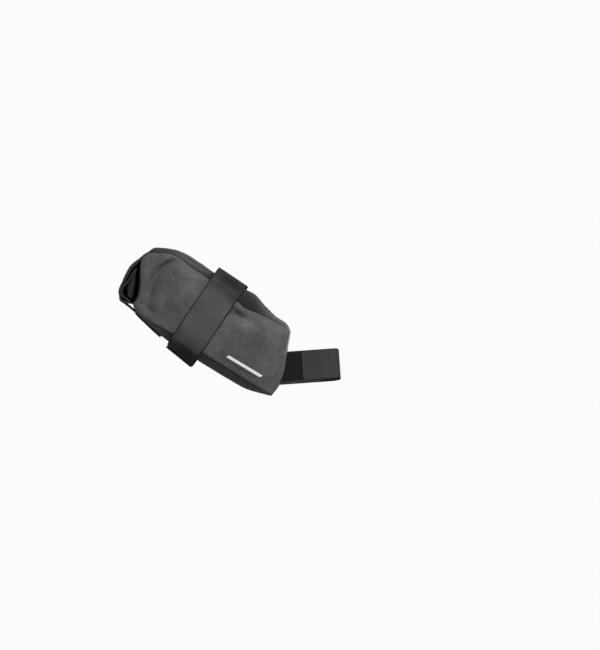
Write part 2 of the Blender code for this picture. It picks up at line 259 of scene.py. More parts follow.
# Photograph's view
VIEW_HEIGHT = 0.520
VIEW_CENTRE = Vector((0.0559, 0.0, -0.0339))
CAMERA_DISTANCE = 2.5
SENSOR = 36.0
FLOOR_RADIUS = 0.45
FLOOR_DROP = 0.35
FLOOR_SIDES = 64
WORLD_STRENGTH = 0.97
LAMP_TARGET = Vector((0.0, 0.0, -0.03))
Lamp = namedtuple("Lamp", "name place size power")
LAMPS = (
    Lamp("key", (0.80, -1.45, 1.55), 0.30, 130),
    Lamp("fill", (-1.5, -1.4, 0.8), 0.6, 2),
    Lamp("back", (0.6, 1.8, 0.25), 0.6, 36),
)

Section = namedtuple("Section", "crown_x crown_drop seam_x seam_drop base_x base_drop "
                                "keel_drop half_top half_base")
SECTIONS = [
    Section(-0.446, 0.235, -0.450, 0.341, -0.354, 0.856, 0.871, 0.921, 0.854),
    Section(-0.432, 0.141, -0.423, 0.226, -0.322, 0.898, 0.923, 0.966, 0.899),
    Section(-0.320, 0.017, -0.320, 0.095, -0.260, 0.911, 0.952, 0.989, 0.933),
    Section(-0.200, -0.005, -0.200, 0.097, -0.167, 0.895, 0.986, 1.000, 0.944),
    Section(-0.080, 0.000, -0.080, 0.100, -0.067, 0.882, 1.005, 0.989, 0.933),
    Section(0.053, -0.029, 0.053, 0.117, 0.067, 0.874, 0.997, 0.944, 0.899),
    Section(0.147, -0.059, 0.147, 0.144, 0.173, 0.868, 0.988, 0.899, 0.854),
    Section(0.227, -0.011, 0.227, 0.105, 0.280, 0.859, 0.977, 0.831, 0.798),
    Section(0.307, 0.018, 0.307, 0.080, 0.380, 0.853, 0.958, 0.764, 0.730),
    Section(0.367, 0.021, 0.370, 0.067, 0.450, 0.847, 0.911, 0.708, 0.674),
    Section(0.410, 0.068, 0.410, 0.098, 0.514, 0.833, 0.858, 0.674, 0.640),
]

RollPoint = namedtuple("RollPoint", "x drop")
ROLL = [
    RollPoint(-0.4465, 0.240),
    RollPoint(-0.4580, 0.330),
    RollPoint(-0.4740, 0.408),
    RollPoint(-0.4835, 0.500),
    RollPoint(-0.4820, 0.594),
    RollPoint(-0.4750, 0.680),
    RollPoint(-0.4620, 0.757),
    RollPoint(-0.4495, 0.820),
    RollPoint(-0.4340, 0.858),
    RollPoint(-0.4240, 0.885),
    RollPoint(-0.4000, 0.885),
    RollPoint(-0.3825, 0.873),
    RollPoint(-0.3760, 0.858),
    RollPoint(-0.3820, 0.844),
    RollPoint(-0.3975, 0.842),
    RollPoint(-0.4170, 0.844),
    RollPoint(-0.4320, 0.824),
    RollPoint(-0.4460, 0.782),
    RollPoint(-0.4550, 0.714),
    RollPoint(-0.4605, 0.636),
    RollPoint(-0.4625, 0.560),
    RollPoint(-0.4620, 0.480),
]
ROLL_OUTSIDE = ROLL[:10]

PleatRow = namedtuple("PleatRow", "drop rear_x")
PLEAT = [
    PleatRow(0.390, -0.4500),
    PleatRow(0.430, -0.4530),
    PleatRow(0.480, -0.4540),
    PleatRow(0.560, -0.4530),
    PleatRow(0.640, -0.4520),
    PleatRow(0.720, -0.4480),
    PleatRow(0.790, -0.4240),
    PleatRow(0.808, -0.4160),
]

# Soft dents and swells of the sides: place and size in shares of BAG_LENGTH and BAG_HEIGHT,
# the turn in degrees, the depth in metres and less than zero for a swell.
Dent = namedtuple("Dent", "x drop length width turn depth")
DENTS = [
    Dent(0.150, 0.26, 0.078, 0.032, 8, 0.0046),
    Dent(0.215, 0.20, 0.060, 0.020, -20, 0.0015),
    Dent(-0.314, 0.20, 0.074, 0.018, 72, 0.0040),
    Dent(-0.333, 0.44, 0.080, 0.019, 90, 0.0036),
    Dent(-0.308, 0.65, 0.085, 0.024, -68, 0.0032),
    Dent(-0.220, 0.36, 0.110, 0.150, 0, -0.0034),
    Dent(-0.300, 0.60, 0.110, 0.045, 50, 0.0014),
    Dent(-0.180, 0.55, 0.120, 0.090, 20, -0.0014),
    Dent(-0.290, 0.79, 0.100, 0.022, -6, 0.0012),
    Dent(0.300, 0.30, 0.180, 0.180, 0, -0.0058),
    Dent(0.430, 0.30, 0.090, 0.024, -75, 0.0012),
    Dent(0.330, 0.80, 0.140, 0.022, 4, 0.0010),
    Dent(0.125, 0.55, 0.160, 0.020, 85, 0.0010),
]


def lerp(a, b, t):
    return a + (b - a) * t


def ease(t):
    t = min(max(t, 0.0), 1.0)
    return t * t * (3.0 - 2.0 * t)


def shares(count, low=0.0, high=1.0):
    return [lerp(low, high, k / (count - 1)) for k in range(count)]


def catmull(rows, u):
    """The row at share u of a table, on a smooth curve through its rows."""
    place = min(max(u, 0.0), 1.0) * (len(rows) - 1)
    i = min(int(place), len(rows) - 2)
    t = place - i
    before = rows[max(i - 1, 0)]
    after = rows[min(i + 2, len(rows) - 1)]
    values = []
    for p, a, b, q in zip(before, rows[i], rows[i + 1], after):
        values.append(0.5 * (2 * a + (b - p) * t + (2 * p - 5 * a + 4 * b - q) * t * t
                             + (3 * a - p - 3 * b + q) * t ** 3))
    return values


def along(points, count):
    """Points evenly spaced on a smooth curve through the given ones."""
    steps = max(CURVE_STEPS, 2 * count)
    fine = [Vector(catmull(points, k / steps)) for k in range(steps + 1)]
    reach = [0.0]
    for a, b in zip(fine, fine[1:]):
        reach.append(reach[-1] + (b - a).length)
    result = []
    k = 0
    for n in range(count):
        target = reach[-1] * n / (count - 1)
        while k < len(reach) - 2 and reach[k + 1] < target:
            k += 1
        step = max(reach[k + 1] - reach[k], 1e-12)
        result.append(fine[k].lerp(fine[k + 1], (target - reach[k]) / step))
    return result


def run_of(line):
    return sum((b - a).length for a, b in zip(line, line[1:]))


def height(drop):
    return TOP_LEVEL - drop * BAG_HEIGHT


def section(u):
    """The bag's section at share u of its table, as real lengths in the bag's axes."""
    s = Section(*catmull(SECTIONS, u))
    half = BAG_WIDTH / 2
    return Section(s.crown_x * BAG_LENGTH, height(s.crown_drop),
                   s.seam_x * BAG_LENGTH, height(s.seam_drop),
                   s.base_x * BAG_LENGTH, height(s.base_drop),
                   height(s.keel_drop), s.half_top * half, s.half_base * half)


def end_line(s, h):
    """x of a section where it meets the side at height share h, with the side's knee."""
    return lerp(s.base_x, s.seam_x, h) + SIDE_KNEE * KNEE_SCALE * h * (1 - h) ** 2


def half_width(s, h):
    """Half the bag's width at height share h, with the side's belly."""
    return lerp(s.half_base, s.half_top, h) + SIDE_BELLY * 4 * h * (1 - h)


def share_at(x, h):
    """Share u of the section table where the side's edge line passes x at height share h."""
    low, high = 0.0, 1.0
    for _ in range(HALVINGS):
        mid = (low + high) / 2
        if end_line(section(mid), h) < x:
            low = mid
        else:
            high = mid
    return (low + high) / 2


def uneven(x, z, folds, side=1):
    """How deep a cloth's small folds are at a place. Each side of the bag has its own."""
    return sum(f.depth * noise.noise(Vector((x / f.size, z / f.size, f.seed * side)))
               for f in folds)


def turned_edge(distance):
    """How far cloth turns down at a distance from its seam."""
    past = max(EDGE_ROUND - distance, 0.0) / EDGE_ROUND
    return EDGE_DROP * past * past


def side_sink(x, z, side):
    """How far a side is pushed in at a place: folds, dents and swells."""
    sink = uneven(x, z, SIDE_FOLDS, side)
    clear = ease((abs(x) - STRAP_WIDTH / 2 - SWELL_START) / SWELL_FADE)
    for d in DENTS:
        dx = x - d.x * BAG_LENGTH
        dz = z - height(d.drop)
        if side > 0:
            dx += LEFT_SHIFT
        turn = math.radians(d.turn)
        far = (dx * math.cos(turn) + dz * math.sin(turn)) / (d.length * BAG_LENGTH)
        off = (dz * math.cos(turn) - dx * math.sin(turn)) / (d.width * BAG_LENGTH)
        depth = d.depth * clear if d.depth < 0 else d.depth
        sink += depth * math.exp(-far * far - off * off)
    return sink


def side_point(u, h, side):
    """A place on a side's outer face, at share u along it and h up it."""
    s = section(u)
    x = end_line(s, h)
    z = lerp(s.base_drop, s.seam_drop, h)
    tall = s.seam_drop - s.base_drop
    to_seam = min(h, 1 - h) * tall
    to_end = min(x - end_line(section(0.0), h), end_line(section(1.0), h) - x)
    soft = ease(min(to_seam, to_end) / SEAM_FADE)
    y = half_width(s, h) - side_sink(x, z, side) * soft
    y -= turned_edge(to_seam) + turned_edge(to_end)
    return Vector((x, side * y, z))


def top_point(u, t):
    """A place on the top, at share u along it and t of its half width."""
    s = section(u)
    w = abs(t) ** CROWN_POWER
    x = lerp(s.crown_x, s.seam_x, w)
    y = t * s.half_top
    soft = (1 - t * t) * ease(u / END_FADE) * ease((1 - u) / END_FADE)
    sink = uneven(x, y, TOP_FOLDS) * soft
    return Vector((x, y, lerp(s.crown_drop, s.seam_drop, w) - sink))


def base_point(u, t):
    """A place on the base, at share u along it and t of its half width."""
    s = section(u)
    w = abs(t) ** KEEL_POWER
    z = lerp(s.keel_drop, s.base_drop, w)
    y = t * s.half_base
    soft = (1 - t * t) * ease((u - BASE_FLAT) / BASE_FADE) * ease((1 - u) / END_FADE)
    return Vector((s.base_x, y, z + abs(uneven(s.base_x, y, BASE_FOLDS)) * soft))


def end_point(u, t, h, top_z, bulge, step):
    """A place on an end panel, at share t of its half width and h up to top_z."""
    s = section(u)
    low = lerp(s.keel_drop, s.base_drop, abs(t) ** KEEL_POWER)
    x = end_line(s, h) + step + bulge * (1 - t * t) * math.sin(math.pi * h)
    return Vector((x, t * half_width(s, h), lerp(low, top_z, h)))


def grey_colour(grey):
    """A nearly neutral grey, a little cool, as a shader's colour."""
    return (grey, grey, grey * COOL, 1.0)


def math_node(tree, kind, a, b=None):
    node = tree.nodes.new("ShaderNodeMath")
    node.operation = kind
    for index, value in enumerate((a, b)):
        if value is None:
            continue
        if isinstance(value, (int, float)):
            node.inputs[index].default_value = value
        else:
            tree.links.new(value, node.inputs[index])
    return node.outputs[0]


def noise_node(tree, vector, scale, detail, stretch=(1, 1, 1)):
    mapping = tree.nodes.new("ShaderNodeMapping")
    mapping.inputs["Scale"].default_value = stretch
    tree.links.new(vector, mapping.inputs["Vector"])
    texture = tree.nodes.new("ShaderNodeTexNoise")
    texture.inputs["Scale"].default_value = scale
    texture.inputs["Detail"].default_value = detail
    tree.links.new(mapping.outputs["Vector"], texture.inputs["Vector"])
    return texture.outputs["Fac"]


def plain(name, grey, roughness):
    """A matt material of one grey, with its tree and its shader."""
    mat = bpy.data.materials.new(name)
    mat.use_nodes = True
    shader = mat.node_tree.nodes["Principled BSDF"]
    shader.inputs["Base Color"].default_value = grey_colour(grey)
    shader.inputs["Roughness"].default_value = roughness
    shader.inputs["Metallic"].default_value = 0.0
    shader.inputs["Specular IOR Level"].default_value = SPECULAR
    return mat, mat.node_tree, shader


def graded(tree, shader, factor, greys):
    """Base colour between a dark and a light grey by a factor."""
    ramp = tree.nodes.new("ShaderNodeValToRGB")
    for element, place, grey in zip(ramp.color_ramp.elements, RAMP_ENDS, greys):
        element.position = place
        element.color = grey_colour(grey)
    tree.links.new(factor, ramp.inputs["Fac"])
    tree.links.new(ramp.outputs["Color"], shader.inputs["Base Color"])


def bumped(tree, shader, heights, distance):
    bump = tree.nodes.new("ShaderNodeBump")
    bump.inputs["Strength"].default_value = 1.0
    bump.inputs["Distance"].default_value = distance
    tree.links.new(heights, bump.inputs["Height"])
    tree.links.new(bump.outputs["Normal"], shader.inputs["Normal"])


def uv_axes(tree):
    """The cloth's own lengths, in metres, as a vector and its two numbers."""
    coordinates = tree.nodes.new("ShaderNodeTexCoord")
    split = tree.nodes.new("ShaderNodeSeparateXYZ")
    tree.links.new(coordinates.outputs["UV"], split.inputs["Vector"])
    return coordinates.outputs["UV"], split.outputs["X"], split.outputs["Y"]


def thread_wave(tree, length, pitch):
    return math_node(tree, "SINE", math_node(tree, "MULTIPLY", length, 2 * math.pi / pitch))


def cloth(name, look):
    """Plain weave in two greys, mixed thread by thread and worn in broad patches."""
    mat, tree, shader = plain(name, look.light, look.roughness)
    vector, u, v = uv_axes(tree)
    warp = noise_node(tree, vector, 1.0, 2.0, (ALONG_THREAD, ACROSS_THREAD, 1))
    weft = noise_node(tree, vector, 1.0, 2.0, (ACROSS_THREAD, ALONG_THREAD, 1))
    mixed = math_node(tree, "MULTIPLY", math_node(tree, "ADD", warp, weft), THREAD_SHARE)
    for scale, detail, share in ((PATCH_SCALE, 3.0, PATCH_SHARE), (WORN_SCALE, 2.0, WORN_SHARE)):
        patch = math_node(tree, "MULTIPLY", noise_node(tree, vector, scale, detail), share)
        mixed = math_node(tree, "ADD", mixed, patch)
    mixed = math_node(tree, "SUBTRACT", mixed, WORN_SHARE / 2)
    graded(tree, shader, mixed, (look.dark, look.light))
    weave = math_node(tree, "MULTIPLY", thread_wave(tree, u, look.pitch),
                      thread_wave(tree, v, look.pitch))
    bumped(tree, shader, weave, WEAVE_BUMP)
    shader.inputs["Specular IOR Level"].default_value = CLOTH_SPECULAR
    shader.inputs["Sheen Weight"].default_value = look.sheen
    shader.inputs["Sheen Roughness"].default_value = 0.5
    return mat


def bend_shade(tree, run, length):
    """Painted shade: darker at the four bends of a strap, from its middle out to both ends."""
    from_middle = math_node(tree, "SUBTRACT", run, length / 2)
    turned = math_node(tree, "MULTIPLY", from_middle, 2 * math.pi / (BEND_PITCH * length))
    wave = math_node(tree, "MULTIPLY", math_node(tree, "COSINE", turned), BEND_SWING)
    level = math_node(tree, "MINIMUM", math_node(tree, "ADD", wave, BEND_SWING), 1.0)
    return math_node(tree, "MULTIPLY", math_node(tree, "SUBTRACT", level, 1.0), BEND_SHADE)


def smooth_band(name, greys, half, length=None):
    """Matt coated strap with a fine grain, with painted shade along its edges and, given its
    length, at the four bends round the bag."""
    mat, tree, shader = plain(name, greys[1], COAT_ROUGHNESS)
    shader.inputs["Specular IOR Level"].default_value = 0.0
    vector, run, across = uv_axes(tree)
    grain = noise_node(tree, vector, COAT_GRAIN, 2.0)
    inside = math_node(tree, "SUBTRACT", half - EDGE_SHADE, math_node(tree, "ABSOLUTE", across))
    patch = noise_node(tree, vector, COAT_PATCH, 3.0)
    body = math_node(tree, "ADD", math_node(tree, "MULTIPLY", patch, COAT_PATCH_SHARE), COAT_LEVEL)
    if length:
        body = math_node(tree, "ADD", body, bend_shade(tree, run, length))
    # painted shade: within EDGE_SHADE of either edge the grey drops to the darkest
    edge_shaded = math_node(tree, "MULTIPLY", body, math_node(tree, "GREATER_THAN", inside, 0.0))
    graded(tree, shader, edge_shaded, greys)
    bumped(tree, shader, grain, COAT_BUMP)
    return mat


def ribbed(name, greys, pitch):
    """Woven tape with ribs across its length."""
    mat, tree, shader = plain(name, greys[1], TAPE_ROUGHNESS)
    vector, u, v = uv_axes(tree)
    graded(tree, shader, noise_node(tree, vector, TAPE_GRAIN, 2.0), greys)
    ribs = math_node(tree, "ADD", thread_wave(tree, u, pitch),
                     math_node(tree, "MULTIPLY", thread_wave(tree, v, 0.6 * pitch), 0.5))
    bumped(tree, shader, ribs, TAPE_BUMP)
    shader.inputs["Sheen Weight"].default_value = 0.1
    return mat


def finished(obj, slot, *nodes):
    """The piece rides on the bag and stands for its CAD nodes, which it hides. slot is not used.
    """
    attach(obj, "root")
    if nodes:
        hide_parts(*nodes)
    return obj


def new_object(name, points, faces, mat, axes):
    mesh = bpy.data.meshes.new(name)
    mesh.from_pydata([tuple(axes @ p) for p in points], [], faces)
    mesh.materials.append(mat)
    mesh.shade_smooth()
    obj = bpy.data.objects.new(name, mesh)
    bpy.context.scene.collection.objects.link(obj)
    return obj


def lay_uvs(mesh, lengths):
    """Lengths along the cloth, one pair a vertex, as the mesh's UVs in metres."""
    layer = mesh.uv_layers.new(name="cloth")
    for loop in mesh.loops:
        layer.data[loop.index].uv = lengths[loop.vertex_index]


def lengths_of(rows):
    """Running lengths along the rows and columns of a grid, one pair a point."""
    down = [0.0]
    middle = len(rows[0]) // 2
    for a, b in zip(rows, rows[1:]):
        down.append(down[-1] + (b[middle] - a[middle]).length)
    across = [0.0]
    row = rows[len(rows) // 2]
    for a, b in zip(row, row[1:]):
        across.append(across[-1] + (b - a).length)
    return [(d, c) for d in down for c in across]


def cloth_piece(name, rows, wall, offset, mat, axes):
    """A cloth sheet through a grid of points, with its thickness and softened rims."""
    width = len(rows[0])
    faces = []
    for i in range(len(rows) - 1):
        for j in range(width - 1):
            k = i * width + j
            faces.append((k, k + width, k + width + 1, k + 1))
    obj = new_object(name, [p for row in rows for p in row], faces, mat, axes)
    lay_uvs(obj.data, lengths_of(rows))
    solid = obj.modifiers.new("wall", "SOLIDIFY")
    solid.thickness = wall
    solid.offset = offset
    solid.use_even_offset = True
    soft = obj.modifiers.new("rim", "BEVEL")
    soft.width = wall * RIM_SHARE
    soft.segments = 2
    soft.limit_method = "ANGLE"
    soft.angle_limit = RIM_ANGLE
    return obj


def ribbon(name, path_at, grid, half, wall, mat, axes):
    """A strap with round edges. path_at(w) is its line at share w of its half width."""
    count, inner = grid
    radius = wall / 2
    edge = radius / half
    flat = [(w, 1.0) for w in shares(inner, -(1 - edge), 1 - edge)]
    turn = [(1 - edge + edge * math.sin(a), math.cos(a))
            for a in (math.radians(d) for d in EDGE_TURN)]
    profile = flat + turn + [(w, -n) for w, n in reversed(flat)] + [(-w, -n) for w, n in turn]
    lines = {w: along(path_at(w), count) for w, _ in profile}
    columns = [w for w, _ in flat]
    normals = {}
    for w in lines:
        near = min(range(len(columns)), key=lambda i: abs(columns[i] - w))
        left = lines[columns[max(near - 1, 0)]]
        right = lines[columns[min(near + 1, len(columns) - 1)]]
        line = lines[w]
        normals[w] = []
        for k in range(count):
            run = line[min(k + 1, count - 1)] - line[max(k - 1, 0)]
            normals[w].append((right[k] - left[k]).cross(run).normalized())
    points = []
    lengths = []
    total = run_of(lines[columns[inner // 2]])
    for k in range(count):
        for w, n in profile:
            points.append(lines[w][k] + normals[w][k] * (n * radius))
            lengths.append((total * k / (count - 1), w * half))
    size = len(profile)
    last = (count - 1) * size
    faces = [tuple(range(size))[::-1], tuple(last + j for j in range(size))]
    tube_faces(faces, range(0, last, size), size)
    obj = new_object(name, points, faces, mat, axes)
    lay_uvs(obj.data, lengths)
    return obj


def tube_faces(faces, starts, sides):
    """Joins each ring of points, by the numbers at which the rings start, to the next one."""
    for start in starts:
        for k in range(sides):
            p = start + k
            q = start + (k + 1) % sides
            faces.append((p, q, q + sides, p + sides))


def capsule(points, faces, a, b, radius, up):
    """Adds one stitch, a short rounded thread from a to b."""
    run = (b - a).normalized()
    side = run.cross(up).normalized()
    lift = side.cross(run)
    start = len(points)
    for place, size, raised in STITCH_RINGS:
        centre = a.lerp(b, place) + lift * raised * radius
        for k in range(THREAD_SIDES):
            angle = 2 * math.pi * k / THREAD_SIDES
            points.append(centre + (side * math.cos(angle) + lift * math.sin(angle))
                          * radius * size)
    last = start + THREAD_SIDES * (len(STITCH_RINGS) - 1)
    tube_faces(faces, range(start, last, THREAD_SIDES), THREAD_SIDES)
    faces.append(tuple(start + k for k in range(THREAD_SIDES))[::-1])
    faces.append(tuple(last + k for k in range(THREAD_SIDES)))


def stitch_rows(name, rows, mat, axes):
    """Rows of stitches. Each row is a line of (point, outward normal)."""
    points, faces = [], []
    for row in rows:
        count = max(int(run_of([p for p, _ in row]) / STITCH_PITCH), 1)
        for n in range(count):
            start, normal = point_at(row, n * STITCH_PITCH)
            end, _ = point_at(row, n * STITCH_PITCH + STITCH_LENGTH)
            capsule(points, faces, start, end, THREAD_RADIUS, normal)
    return new_object(name, points, faces, mat, axes)


def point_at(row, target):
    """The point and normal a length along a row."""
    gone = 0.0
    for (p, n), (q, m) in zip(row, row[1:]):
        step = (q - p).length
        if gone + step >= target:
            t = (target - gone) / max(step, 1e-9)
            return p.lerp(q, t), n.lerp(m, t).normalized()
        gone += step
    return row[-1]


def make_sides(mat, axes):
    long, tall = SIDE_GRID
    for side, hand in HANDS:
        heights = shares(tall) if side < 0 else shares(tall, 1.0, 0.0)
        rows = [[side_point(u, h, side) for h in heights] for u in shares(long)]
        obj = cloth_piece(f"side_cloth_{hand}", rows, PANEL_WALL, -1, mat, axes)
        finished(obj, "side_cloth", f"side_panel_{hand}")


def make_top(mat, axes):
    long, wide = LONG_GRID
    edge = 1 - (PANEL_WALL - SEAM_LAP) / section(1).half_top
    rows = [[top_point(u, t) for t in shares(wide, -edge, edge)] for u in shares(long)]
    finished(cloth_piece("top_cloth", rows, PANEL_WALL, -1, mat, axes), "dark_cloth",
             "top_panel")


def make_base(mat, axes):
    long, wide = LONG_GRID
    edge = 1 - (PANEL_WALL - SEAM_LAP) / section(1).half_base
    rows = [[base_point(u, t) for t in shares(wide, edge, -edge)] for u in shares(long)]
    finished(cloth_piece("base_cloth", rows, PANEL_WALL, -1, mat, axes), "dark_cloth",
             "base_panel")


def front_point(t, h):
    """A place on the front panel's outer face."""
    s = section(1.0)
    top_z = lerp(s.crown_drop, s.seam_drop, abs(t) ** CROWN_POWER)
    return end_point(1.0, t, h, top_z, FRONT_BULGE, FRONT_STEP)


def make_front(mat, axes):
    wide, tall = FRONT_GRID
    rows = [[front_point(t, h) for h in shares(tall)]
            for t in shares(wide, -FRONT_REACH, FRONT_REACH)]
    for row in rows[2:-2]:          # the rim stays at the seams
        for p in row[3:-3]:
            p.x += uneven(p.y, p.z, FRONT_FOLDS)
    finished(cloth_piece("front_cloth", rows, PANEL_WALL, -1, mat, axes), "side_cloth",
             "front_panel")


def make_rear_wall(mat, axes):
    wide, tall = REAR_GRID
    top_z = section(0.0).seam_drop
    rows = [[end_point(0.0, t, h, top_z, 0.0, SEAM_LAP) for h in shares(tall, 0.0, REAR_WALL_TOP)]
            for t in shares(wide, REAR_WALL_REACH, -REAR_WALL_REACH)]
    finished(cloth_piece("rear_wall_cloth", rows, PANEL_WALL, 1, mat, axes), "dark_cloth",
             "rear_wall")


def roll_bulge(z):
    """How far the flap's sides stand forward of its middle at height z."""
    low, full, start, top = (height(drop) for drop in BULGE_DROPS)
    return ROLL_BULGE * ease((z - low) / (full - low)) * ease((top - z) / (top - start))


def make_roll(mat, axes):
    """The flap: its start follows the crown's curve, and past ROLL_MERGE its rows are level."""
    count, wide = ROLL_GRID
    line = along([(p.x * BAG_LENGTH, height(p.drop)) for p in ROLL], count)
    end = section(0.0)
    rows = []
    for k in range(count):
        s = k / (count - 1)
        row = []
        for t in shares(wide, -1.0, 1.0):
            w = abs(t) ** CROWN_POWER
            start = APEX_SHARE * w
            shifted = s
            if s < ROLL_MERGE:
                shifted = start + (ROLL_MERGE - start) * s / ROLL_MERGE
            place = shifted * (count - 1)
            i = min(int(place), count - 2)
            point = line[i].lerp(line[i + 1], place - i)
            top_x = lerp(end.crown_x, end.seam_x, w) - FLAP_STEP
            first = line[round(start * (count - 1))]
            closing = (top_x - first.x) * (1 - ease(s / FLAP_CLOSE))
            inset = lerp(ROLL_INSET_TOP, ROLL_INSET_LOW, ease(s / ROLL_MERGE))
            half = BAG_WIDTH / 2 - inset
            soft = ease(s / ROLL_FADE) * ease((ROLL_FOLD_END - s) / ROLL_FADE)
            fold = uneven(t * half, point.y, ROLL_FOLDS) * soft * (1 - t * t)
            row.append(Vector((point.x + closing + roll_bulge(point.y) * t * t + fold,
                               t * half, point.y)))
        rows.append(row)
    flap = cloth_piece("roll_cloth", rows, ROLL_WALL, 0, mat, axes)
    finished(flap, "dark_cloth", "roll_top")


def rear_wall_x(z):
    """x just behind the rear wall at height z."""
    s = section(0.0)
    h = (z - s.base_drop) / (s.seam_drop - s.base_drop)
    return end_line(s, h) - SEAM_GAP - PANEL_WALL


def make_gussets(mat, axes):
    tall, deep = GUSSET_GRID
    for side, hand in HANDS:
        rows = []
        for u in shares(tall):
            row = PleatRow(*catmull(PLEAT, u))
            z = height(row.drop)
            rear = row.rear_x * BAG_LENGTH
            front = rear_wall_x(z) - 2 * SEAM_GAP - GUSSET_WALL
            points = []
            for v in shares(deep):
                y = BAG_WIDTH / 2 - GUSSET_INSET + GUSSET_DEPTH * math.sin(math.pi * v)
                points.append(Vector((lerp(rear, front, v), side * y, z)))
            rows.append(points)
        obj = cloth_piece(f"gusset_cloth_{hand}", rows, GUSSET_WALL, 0, mat, axes)
        finished(obj, "dark_cloth", f"gusset_{hand}")


def make_gusset_backs(mat, axes):
    """The flap's folded-in cloth that closes the roll behind each pleat."""
    tall, deep = BACK_GRID
    outside = [Vector(catmull(ROLL_OUTSIDE, u)) for u in shares(60)]
    y = BAG_WIDTH / 2 - GUSSET_INSET - BACK_DEPTH
    for side, hand in HANDS:
        rows = []
        for drop in shares(tall, *BACK_DROPS):
            z = height(drop)
            rear = min(outside, key=lambda p: abs(p.y - drop)).x * BAG_LENGTH + BACK_CLEAR
            front = rear_wall_x(z) + PANEL_WALL / 2
            rows.append([Vector((lerp(rear, front, v), side * y, z)) for v in shares(deep)])
        obj = cloth_piece(f"gusset_back_{hand}", rows, GUSSET_WALL, 0, mat, axes)
        obj.modifiers["wall"].use_even_offset = False
        finished(obj, "dark_cloth")


def make_roll_tab(mat, thread, axes):
    under = TAB_WALL / 2
    roll = [(p.x * BAG_LENGTH, height(p.drop)) for p in ROLL]
    route = []
    for index in TAB_ROWS:
        before, here, after = (Vector(roll[index + k]) for k in (-1, 0, 1))
        run = (after - before).normalized()
        out = Vector((run.y, -run.x))
        route.append(tuple(here + out * (ROLL_SKIN + TAB_CLEAR + under)))
    for u in TAB_STOPS:
        s = section(u)
        route.append((s.base_x, s.keel_drop - TAB_CLEAR - under))
    half = TAB_WIDTH / 2

    def path_at(w):
        return [(x, w * half, z) for x, z in route]

    obj = ribbon("roll_tab_tape", path_at, TAB_GRID, half, TAB_WALL, mat, axes)
    finished(obj, "webbing", "roll_tab")
    line = along([(x, 0.0, z) for x, z in route], 60)
    rows = []
    for share in TAB_STITCHES:
        k = int(share * (len(line) - 1))
        run = (line[k + 1] - line[k]).normalized()
        down = Vector((run.z, 0.0, -run.x))
        rows.append([(line[k] + Vector((0.0, t * half * STITCH_REACH, 0.0)) + down * under, down)
                     for t in shares(12, -1.0, 1.0)])
    finished(stitch_rows("roll_tab_thread", rows, thread, axes), "webbing")


def strap_route(x):
    """Middle line of the wide strap at x along the bag, from its inner end to its outer end."""
    over = RAIL_RADIUS + SEAM_GAP + STRAP_WALL / 2
    rail = RAIL_SPACING / 2
    keel = section(share_at(0.0, 0.0)).keel_drop
    bottom = keel - STRAP_SAG - STRAP_WALL / 2 - STRAP_TILT * x
    step = STRAP_WALL + SEAM_GAP
    wall = []
    for h in WALL_SHARES:
        s = section(share_at(x, h))
        wall.append((half_width(s, h) + STRAP_CLEAR + STRAP_WALL / 2,
                     lerp(s.base_drop, s.seam_drop, h)))
    low = wall[0][0]
    high, shoulder = wall[-1]
    corner = section(share_at(x, 0.0)).base_drop
    side = [(FLAT_SHARE * low, bottom + FLAT_LIFT)]
    side += [(out * low, lerp(bottom, corner, rise)) for out, rise in BILGE] + wall
    side += [(lerp(high, rail + over, inward), lerp(shoulder, over, rise))
             for inward, rise in SHOULDER]
    side += [(rail + out * over, rise * over) for out, rise in RAIL_TURN] + [(0.5 * rail, over)]
    near = [(-y, z) for y, z in side]
    far = [(y, z) for y, z in reversed(side[1:])]
    inner = [(STRAP_LAP, bottom), (0.0, bottom)]
    outer = [(LAP_SHARE * low, bottom - LAP_DIP), (FLAT_SHARE * low, bottom - step),
             (0.0, bottom - step), (-STRAP_LAP, bottom - step)]
    return inner + near + [(0.0, over)] + far + outer


def make_rail_strap(mat, thread, axes):
    """The wide strap, with its lap's stitches under the bag."""
    half = STRAP_WIDTH / 2
    low = section(0.5).base_drop

    def path_at(w):
        line = []
        for y, z in strap_route(w * half):
            below = ease((low - z + NARROW_START) / NARROW_FADE)
            draw = STRAP_NARROW * below if w > 0 else 0.0
            line.append((w * half * (1 - draw), y, z))
        return line

    obj = ribbon("rail_strap_band", path_at, STRAP_GRID, half, STRAP_WALL, mat, axes)
    finished(obj, "smooth_strap", "rail_strap")
    down = Vector((0.0, 0.0, -1.0))
    rows = []
    for share in LAP_STITCHES:
        rows.append([])
        for t in shares(16, -STITCH_REACH, STITCH_REACH):
            x = t * half
            z = strap_route(x)[-1][1] - STRAP_WALL / 2
            rows[-1].append((Vector((x, share * STRAP_LAP, z)), down))
    finished(stitch_rows("rail_strap_thread", rows, thread, axes), "smooth_strap")


def post_matrix(axes):
    """The front strap's axes: its middle, and a slight lean."""
    centre = axes @ Vector((BAG_LENGTH / 2 + POST_AHEAD, 0.0, -POST_DROP))
    return Matrix.LocRotScale(centre, Euler((0.0, -POST_LEAN, 0.0)), None)


def front_face(bag_axes, post_axes, y):
    """Heights and x of the front panel's outer face at width y, in the front strap's axes."""
    into_post = post_axes.inverted() @ bag_axes
    s = section(1.0)
    return [into_post @ front_point(y / half_width(s, h), h) for h in shares(60)]


def reach_to(face, z):
    """The face's x at height z, in the front strap's axes."""
    for a, b in zip(face, face[1:]):
        if a.z <= z <= b.z:
            return lerp(a.x, b.x, (z - a.z) / (b.z - a.z))
    return face[0].x if z < face[0].z else face[-1].x


def corner_step(z):
    """How far the band's cut end draws back at height z, for its round corners."""
    past = max(abs(z) - (BAND_HEIGHT / 2 - BAND_CORNER), 0.0)
    return BAND_CORNER - math.sqrt(max(BAND_CORNER ** 2 - past ** 2, 0.0))


def dip(y):
    """How far the band has come down at y on its way round to the far side."""
    near = POST_WIDTH / 2 + PILE_WALL
    return -FAR_DIP * ease((y + near) / (2 * near))


